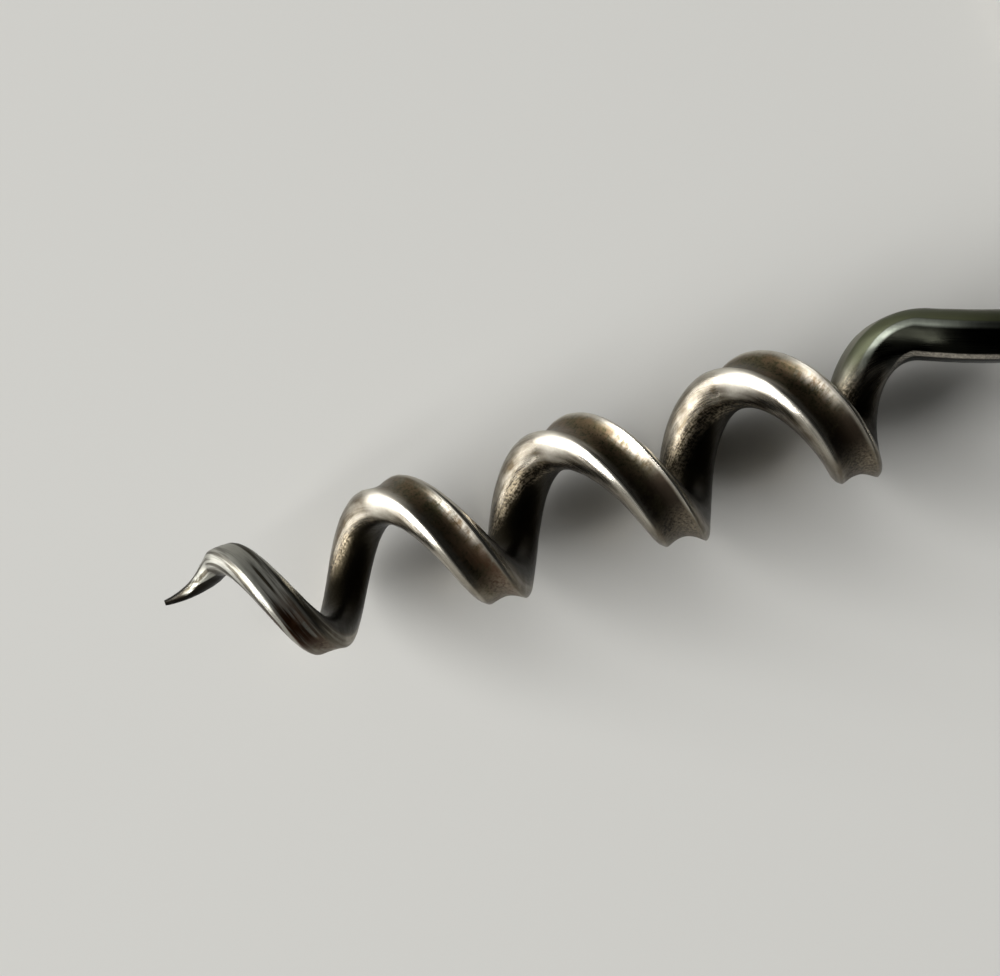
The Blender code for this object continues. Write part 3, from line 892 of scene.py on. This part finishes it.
def worm_look(name):
    """Old drawn steel: rubbed lips, a mottled and rusty flute, a pitted inside, a dull banded shank, with
    painted highlights, reflections and shade laid on it.
    """
    material, bench, shader = steel_start(name)

    def carried(attribute, out="Fac"):
        return bench.node("ShaderNodeAttribute", {"attribute_name": attribute}, out=out)

    straight = carried("straight", "Vector")
    side = bench.node("ShaderNodeSeparateXYZ", None, {"Vector": straight}, out="Y")
    along = bench.beside(side, "Z")
    here = bench.node("ShaderNodeTexCoord", out="Object")
    y = bench.node("ShaderNodeSeparateXYZ", None, {"Vector": here}, out="Y")
    hollow = carried("hollow")
    upper_in_view = carried("upper_in_view")
    falling = carried("falling")

    patterns = {
        "grain": drawn_out(bench, straight, Z_AXIS, *GRAIN),
        "streaks": drawn_out(bench, straight, Z_AXIS, *STREAKS),
        "chatter": drawn_out(bench, straight, Z_AXIS, *CHATTER),
        "blotches": pattern(bench, here, *BLOTCHES),
        "specks": pattern(bench, here, *SPECKS),
    }

    # Places on the worm, each 1 where it is full and 0 away from it
    shank = bench.between(along, *SHANK_SKIN)
    rising = bench.between(falling, *RISING)
    rim_pits = carried("inner_rim") * rising * bench.between(y, *RIM_PITS)
    inside = bench.maths("MAXIMUM", carried("inner"), rim_pits) * (1.0 - shank)
    point = bench.between(along, *POINT_SKIN) * (1.0 - inside)
    narrowing = bench.maths("ABSOLUTE", along - POINT_UNDER_MIDDLE) * POINT_UNDER_NARROWING
    # Painted shade: the point's underside as the camera sees it, painted near-black
    point_underside_shade = point * bench.between(-upper_in_view - narrowing, *POINT_UNDER_SHADE)
    stain = bench.between(along, *STAIN_START) * bench.between(along, *STAIN_END)
    stain = stain * bench.between(side, *STAIN_SIDE_START) * bench.between(side, *STAIN_SIDE_END)
    late = bench.between(along, *LATE_TURNS)
    low_down = bench.between(y - late * LATE_LOW_RISE, *LOW_DOWN)
    crest = bench.between(y, *CREST)
    trough = bench.between(y, *TROUGH)
    far_wall = bench.between(-side, *FAR_WALL) * bench.between(hollow, *FAR_WALL_HOLLOW)
    shoulder = crest * bench.between(falling, *FALLING)
    # Painted highlight on the near face of each crest's shoulder, past the crest
    shoulder_highlight = shoulder * bench.between(side, *SHOULDER_SIDE)
    shoulder_highlight = shoulder_highlight * bench.between(hollow, *SHOULDER_HOLLOW) * (1.0 - inside)
    eye = bench.between(along, *EYE_SKIN)
    banded = shank * (1.0 - eye)
    # Top band of the shank as the camera sees it: dull patina that also stands in for a painted reflection
    shank_top = banded * bench.between(upper_in_view, *SHANK_TOP)
    # Painted highlight: a pale streak along the shank just above its middle as the camera sees it
    streak = banded * bench.between(upper_in_view, *SHANK_HIGHLIGHT_BAND) * (1.0 - shank_top)
    # Painted reflection of the floor: a paler rim along the shank's top edge as the camera sees it
    shank_rim_reflection = banded * bench.between(upper_in_view, *SHANK_RIM_REFLECTION)
    # Painted reflection of the floor: a pale line below the shank's middle as the camera sees it
    floor_reflection_line = banded * bench.between(-upper_in_view, *SHANK_FLOOR_LINE_TOP) * bench.between(-upper_in_view, *SHANK_FLOOR_LINE_FOOT)

    parts = {name: wire - PATTERN_MIDDLE for name, wire in patterns.items()}
    parts |= {"side": side, "hollow": hollow, "inside": inside, "inside of crest": inside * crest}
    parts |= {"late": late, "low down": low_down, "trough": trough, "far wall": far_wall, "point": point}
    parts |= {"shoulder": shoulder, "shoulder highlight": shoulder_highlight, "point_underside_shade": point_underside_shade}
    parts |= {"shank top": shank_top, "streak": streak, "floor_reflection_line": floor_reflection_line, "eye": eye}

    def measured(measure):
        return weighed(WORM_AMOUNTS[measure], parts)

    def marked(name, levels):
        return bench.between(patterns[name], *levels)

    # Skins and painted light and shade, and how much of the steel each covers
    # Lip wear, dimmed as painted shade towards the troughs' side and on rising strands
    wear = measured("wear") * (1.0 - rising * LIP_SHADE_RISING)
    # Bright steel on the lips, where it is real wear, and on the crests' shoulders, where it is a painted
    # highlight
    rubbed_and_highlit = bench.clamped(carried("lip") * wear + shoulder_highlight * measured("shoulder sheen"))
    olive = bench.clamped(measured("olive"))
    mottle = bench.between(measured("mottle"), *FLUTE_MOTTLE)
    flute_skin = bench.mixed(mottle, OLIVE_STEEL, BROWN_FLUTE_STEEL)
    spots = bench.between(measured("spots"), *FLUTE_SPOTS) * hollow
    # Chatter scrapes in bright steel on the flute's far wall, away from the crest and the troughs' side,
    # placed where they also paint the window's highlight
    scrapes_and_highlight = bench.clamped(far_wall * (1.0 - low_down) * (1.0 - crest) * marked("chatter", SCRAPES))
    patches = bench.between(measured("rust patches"), *RUST_PATCHES)
    rust = bench.clamped(bench.between(hollow, *RUST_HOLLOW) * low_down * patches)
    rust_skin = bench.mixed(late, RUST, BLACK_RUST)
    # Pale specks in the flute at the troughs: wear, and a painted reflection of the lit floor
    trough_wear_and_sheen = trough * bench.between(hollow, *TROUGH_HOLLOW) * marked("specks", TROUGH_SPECKS)
    point_skin = bench.mixed(marked("streaks", POINT_STREAKS), POINT_STEEL, DARK_POINT_STEEL)
    point_cover = point * (1.0 - rust) * (POINT_COVER - trough * POINT_COVER_LOST_IN_TROUGH)
    dark_end = bench.between(along, *POINT_DARK)
    eye_skin = bench.mixed(marked("blotches", EYE_BLOTCHES), EYE_STEEL, BROWN_STEEL)
    # Inside: near-black pitted steel, partly painted shade, whose pit edges are painted lit only on the
    # side towards the window and darken towards the troughs as painted shade
    lower_pit_shade = 1.0 - bench.between(y, *PIT_SHADE_LOW) * PIT_EDGES_SHADE_LOW
    lit_pit_edges = bench.between(measured("pit marks"), *PIT_MARKS)
    lit_pit_edges = lit_pit_edges * bench.between(measured("pit lit side"), *PIT_LIT_SIDE) * lower_pit_shade
    lit_and_shaded_pits = bench.mixed(lit_pit_edges, PITTED_STEEL, PIT_EDGE_STEEL)
    parts |= {"olive": olive, "rust": rust}

    # Layers of skin and of painted light and shade, from the lowest up
    # Base: bare steel, tarnished in blotches and streaks, and darker towards the troughs' side
    colour = bench.mixed(bench.clamped(measured("tarnish")), BARE_STEEL, BROWN_STEEL)
    for cover, skin in (
        (rubbed_and_highlit, BRIGHT_STEEL),
        (olive, flute_skin),
        (spots * SPOT_COVER, PITTED_STEEL),
        (scrapes_and_highlight * SCRAPE_AND_HIGHLIGHT_COVER, BRIGHT_STEEL),
        (rust * RUST_COVER, rust_skin),
        (trough_wear_and_sheen * TROUGH_COVER, PIT_EDGE_STEEL),
        (point_cover, point_skin),
        (dark_end * DARK_END_COVER, BLACK_STEEL),
        (stain * marked("streaks", STAIN_STREAKS), RUST),
        (point_underside_shade, BLACK_STEEL),
        # Painted dark reflection over the whole shank
        (shank, SHANK_PAINTED_DARK_STEEL),
        (streak * measured("streak cover"), SHANK_PAINTED_HIGHLIGHT_STEEL),
        (shank_top, DULL_STEEL),
        (shank_rim_reflection * SHANK_RIM_REFLECTION_COVER, RIM_REFLECTION_STEEL),
        (floor_reflection_line * measured("line cover"), BARE_STEEL),
        (eye, eye_skin),
        (inside, lit_and_shaded_pits),
    ):
        colour = bench.mixed(cover, colour, skin)

    relief = patterns["grain"] * GRAIN_RELIEF
    relief = relief + patterns["streaks"] * measured("streak relief")
    relief = relief + patterns["chatter"] * measured("chatter relief")
    relief = relief + patterns["specks"] * measured("speck relief")
    finish_steel(bench, shader, colour, measured("roughness"), relief, WORM_RELIEF_DEPTH)
    plug(bench, shader, {"Metallic": measured("metal")})
    return material


def turned_look(name, bare, brown):
    """Turned steel: fine rings round the peg's axis, tarnished in blotches, with rusty specks."""
    material, bench, shader = steel_start(name)
    here = bench.node("ShaderNodeTexCoord", out="Object")
    specks = pattern(bench, here, *PEG_SPECKS)
    parts = {
        "rings": drawn_out(bench, here, Y_AXIS, *PEG_RINGS) - PATTERN_MIDDLE,
        "blotches": pattern(bench, here, *PEG_BLOTCHES) - PATTERN_MIDDLE,
        "specks": specks - PATTERN_MIDDLE,
    }
    parts["tarnish"] = bench.clamped(weighed(PEG_AMOUNTS["tarnish"], parts))
    colour = bench.mixed(parts["tarnish"], bare, brown)
    rusty = bench.between(specks, *PEG_RUST_SPECKS) * PEG_RUST_COVER
    colour = bench.mixed(rusty, colour, RUST)
    roughness = weighed(PEG_AMOUNTS["roughness"], parts)
    relief = weighed(PEG_AMOUNTS["relief"], parts)
    finish_steel(bench, shader, colour, roughness, relief, PEG_RELIEF_DEPTH)
    shader.inputs["Metallic"].default_value = 1.0
    return material


def pale_floor():
    bpy.ops.mesh.primitive_plane_add(size=FLOOR_SIZE)
    floor = bpy.context.object
    floor.name = "floor"
    paint = bpy.data.materials.new("pale_floor")
    paint.use_nodes = True
    shader = paint.node_tree.nodes["Principled BSDF"]
    shader.inputs["Base Color"].default_value = (*FLOOR_COLOUR, 1.0)
    shader.inputs["Roughness"].default_value = FLOOR_ROUGHNESS
    shader.inputs["Specular IOR Level"].default_value = FLOOR_GLOSS
    floor.data.materials.append(paint)


def window_light():
    """The soft window, which faces the worm."""
    lamp = bpy.data.lights.new("window", "AREA")
    lamp.shape = "RECTANGLE"
    lamp.size = WINDOW_WIDTH
    lamp.size_y = WINDOW_HEIGHT
    lamp.energy = WINDOW_POWER
    window = bpy.data.objects.new("window", lamp)
    direction = Vector(WINDOW_DIRECTION).normalized()
    window.location = direction * WINDOW_DISTANCE
    window.rotation_mode = "QUATERNION"
    window.rotation_quaternion = direction.to_track_quat("Z", "Y")
    bpy.context.scene.collection.objects.link(window)


def dim_room():
    """The room round the window: pale low down on the window's side, dark above and behind."""
    world = bpy.data.worlds.new("room")
    bpy.context.scene.world = world
    world.use_nodes = True
    bench = Bench(world.node_tree)
    background = world.node_tree.nodes["Background"]
    way = bench.node("ShaderNodeTexCoord", out="Generated")
    height = bench.node("ShaderNodeSeparateXYZ", None, {"Vector": way}, out="Z")
    level_way = Vector((WINDOW_DIRECTION[0], WINDOW_DIRECTION[1], 0.0)).normalized()
    towards = bench.beside(bench.vectors("DOT_PRODUCT", way, tuple(level_way)), "Value")
    low = bench.between(height, *ROOM_LOW)
    lit_side = bench.between(towards, *ROOM_LIT_SIDE)
    level = ROOM_DARK + (ROOM_PALE - ROOM_DARK) * low * lit_side + ROOM_BACK * low * (1.0 - lit_side)
    seen = bench.node("ShaderNodeLightPath", out="Is Camera Ray")
    level = part_way(level, ROOM_SEEN, seen)
    tints = {"Red": level, "Green": level, "Blue": level * ROOM_BLUE_SHARE}
    plug(bench, background, {"Color": bench.node("ShaderNodeCombineColor", None, tints)})
    background.inputs["Strength"].default_value = 1.0


def photograph_camera(crest):
    """The camera of the photograph, placed from the worm's first crest."""
    aim = crest + Vector((CAMERA_AIM_FROM_CREST, 0.0, 0.0))
    forward = Vector((math.sin(CAMERA_SWING), 0.0, -math.cos(CAMERA_SWING)))
    level = Vector((math.cos(CAMERA_SWING), 0.0, math.sin(CAMERA_SWING)))
    across = Vector((0.0, 1.0, 0.0))
    right = math.cos(CAMERA_ROLL) * level - math.sin(CAMERA_ROLL) * across
    up = math.sin(CAMERA_ROLL) * level + math.cos(CAMERA_ROLL) * across
    lens = bpy.data.cameras.new("camera")
    lens.lens = CAMERA_LENS
    lens.sensor_width = CAMERA_SENSOR
    lens.clip_start = CAMERA_NEAREST
    camera = bpy.data.objects.new("camera", lens)
    turned = Matrix((right, up, -forward)).transposed()
    place = aim - CAMERA_DISTANCE * forward + CAMERA_RISE * up
    camera.matrix_world = Matrix.Translation(place) @ turned.to_4x4()
    bpy.context.scene.collection.objects.link(camera)
    bpy.context.scene.camera = camera


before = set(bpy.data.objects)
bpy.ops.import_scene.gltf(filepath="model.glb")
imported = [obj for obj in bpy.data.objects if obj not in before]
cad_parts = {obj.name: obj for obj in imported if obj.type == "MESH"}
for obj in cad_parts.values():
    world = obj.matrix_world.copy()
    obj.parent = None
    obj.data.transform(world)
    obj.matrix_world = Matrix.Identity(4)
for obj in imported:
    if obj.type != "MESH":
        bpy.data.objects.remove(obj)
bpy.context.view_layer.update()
bpy.context.scene.view_settings.view_transform = "Standard"

rod_low, rod_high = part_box("peg_rod")
axis_height = (rod_low.z + rod_high.z) / 2
peg_x = (rod_low.x + rod_high.x) / 2
shoulder = rod_high.y - PEG_LENGTH_UNDER_KNOB

rows, eye_middle = worm_rows()
worm_start = peg_x - eye_middle[0]

worm_steel = worm_look("worm_steel")
peg_steel = turned_look("peg_steel", PEG_BARE, PEG_BROWN)
knob_steel = turned_look("knob_steel", KNOB_BARE, KNOB_BROWN)
worm = swept_worm(rows, (worm_start, 0.0, axis_height), worm_steel)
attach(worm, "worm")
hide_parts("worm")

peg_centre = Vector((peg_x, shoulder, axis_height))
peg_rod = turned_piece("peg_rod_turned", rod_profile(), False, peg_centre, peg_steel)
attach(peg_rod, "peg")
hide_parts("peg_rod")

peg_knob = turned_piece("peg_knob_turned", knob_profile(), True, peg_centre, knob_steel)
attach(peg_knob, "peg")
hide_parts("peg_head")

pale_floor()
window_light()
dim_room()
photograph_camera(Vector((worm_start, 0.0, axis_height)))
